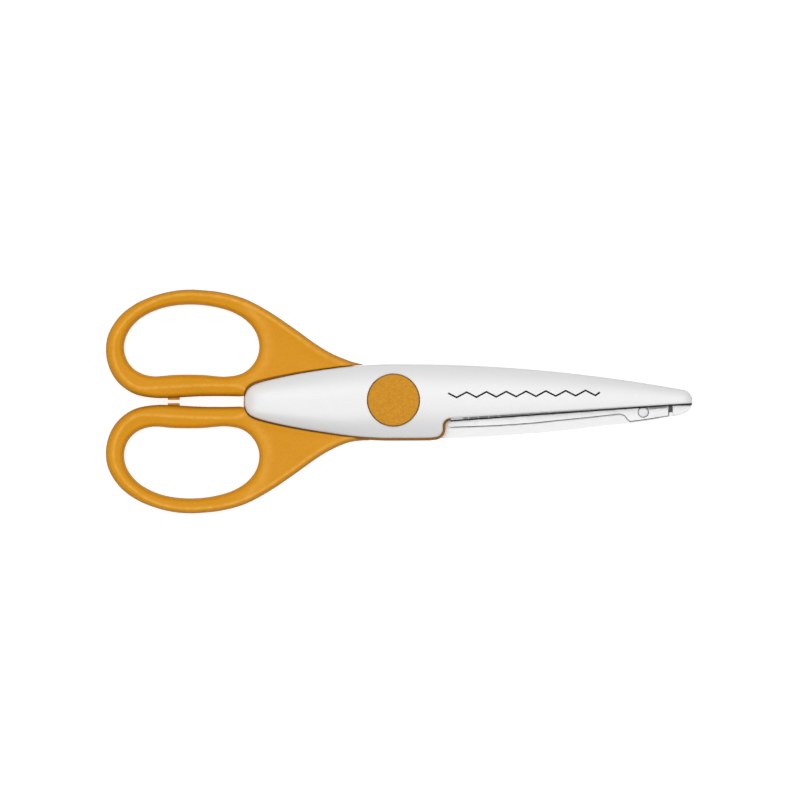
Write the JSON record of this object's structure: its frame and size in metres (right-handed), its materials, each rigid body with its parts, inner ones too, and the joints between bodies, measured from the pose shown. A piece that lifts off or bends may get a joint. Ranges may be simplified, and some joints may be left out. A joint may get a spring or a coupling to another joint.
{
  "type": "decorative edge scissors",
  "caption": "Paper craft scissors with toothed cutting edges, white blade shells, oval finger handles and a capped pivot.",
  "frame": {"origin": "on the pivot axis, at the flat face of the rear cap, which is the surface that the scissors lie on", "axes": "+X towards the blade tips, +Y towards the handle of the rear half, +Z along the pivot towards the front cap"},
  "size_m": [0.1646, 0.0632, 0.0092],
  "materials": {
    "white_plastic": "satin moulded",
    "orange_plastic": "fine spark grain",
    "blade_steel": "ground",
    "rivet_steel": "flush headed",
    "pivot_steel": "turned",
    "washer_plastic": "natural"
  },
  "bodies": {
    "rear_half": {"rear_shell": "white_plastic", "rear_handle": "orange_plastic", "rear_blade": "blade_steel", "rear_blade_rivets": "rivet_steel", "rear_cap": "orange_plastic", "pivot_bush": "pivot_steel", "pivot_screw": "pivot_steel", "pivot_nut": "pivot_steel", "spring_washer": "pivot_steel", "thrust_washer": "washer_plastic"},
    "front_half": {"front_shell": "white_plastic", "front_handle": "orange_plastic", "front_blade": "blade_steel", "front_blade_rivets": "rivet_steel", "front_cap": "orange_plastic"}
  },
  "joints": [
    {"name": "pivot", "type": "hinge", "parent": "rear_half", "child": "front_half", "pos_m": [0, 0, 0.0046], "axis": [0, 0, 1], "range_deg": [-0.8, 60]}
  ]
}
